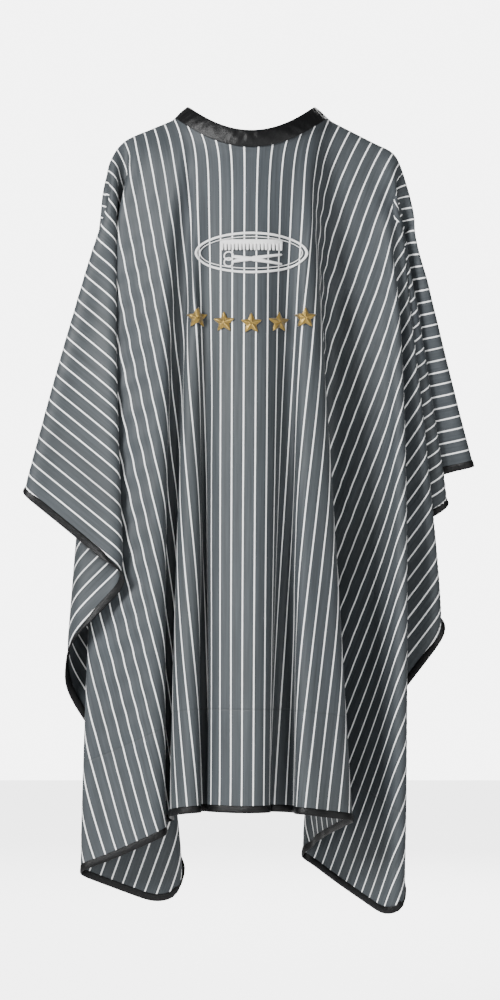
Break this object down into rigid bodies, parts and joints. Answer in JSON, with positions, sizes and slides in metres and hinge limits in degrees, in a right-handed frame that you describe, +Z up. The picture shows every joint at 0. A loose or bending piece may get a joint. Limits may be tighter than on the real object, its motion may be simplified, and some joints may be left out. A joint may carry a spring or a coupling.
{
  "type": "barber cape",
  "caption": "Striped hairdressing cape hanging open from its shoulders, with satin bindings, a satin neckband and a snap tab at the nape.",
  "frame": {"origin": "centre of the neck opening, level with the middle of the neckband", "axes": "+Z up, the front of the cape faces -Y, +X is to the right as seen from the front"},
  "size_m": [0.6742, 0.2956, 1.1808],
  "materials": {
    "striped_cloth": "woven polyester, slate grey with thin white stripes, slight sheen",
    "satin_binding": "black satin bias binding",
    "satin_band": "black satin",
    "interfacing": "stiff white non-woven",
    "band_lining": "matt black",
    "snap_steel": "nickel plated",
    "gold_thread": "embroidered",
    "white_thread": "embroidered"
  },
  "bodies": {
    "cape": {"back_flap_left": "striped_cloth", "back_flap_right": "striped_cloth", "back_hem_binding_left": "satin_binding", "back_hem_binding_right": "satin_binding", "emblem_comb": "white_thread", "emblem_outline": "white_thread", "emblem_scissors": "white_thread", "front_hem_binding": "satin_binding", "front_panel": "striped_cloth", "front_wing_left": "striped_cloth", "front_wing_right": "striped_cloth", "neckband_interfacing": "interfacing", "neckband_lining": "band_lining", "neckband_outer": "satin_band", "neckband_underlap": "satin_band", "side_hem_binding_left": "satin_binding", "side_hem_binding_right": "satin_binding", "sleeve_fall_left": "striped_cloth", "sleeve_fall_right": "striped_cloth", "slit_binding_left": "satin_binding", "slit_binding_right": "satin_binding", "snap_back_1": "snap_steel", "snap_back_2": "snap_steel", "snap_back_3": "snap_steel", "snap_back_4": "snap_steel", "snap_stud_1": "snap_steel", "snap_stud_2": "snap_steel", "snap_stud_3": "snap_steel", "snap_stud_4": "snap_steel", "star_patch_1": "gold_thread", "star_patch_2": "gold_thread", "star_patch_3": "gold_thread", "star_patch_4": "gold_thread", "star_patch_5": "gold_thread", "tab_root": "satin_band", "wing_hem_binding_left": "satin_binding", "wing_hem_binding_right": "satin_binding"},
    "closure_tab": {"closure_tab": "satin_band", "snap_cap_1": "snap_steel", "snap_cap_2": "snap_steel", "snap_socket_1": "snap_steel", "snap_socket_2": "snap_steel"}
  },
  "joints": [
    {"name": "nape_tab", "type": "hinge", "parent": "cape", "child": "closure_tab", "pos_m": [-0.033, 0.0609, -0.01225], "axis": [0, -0.2553, 0.9669], "range_deg": [0, 120]}
  ]
}
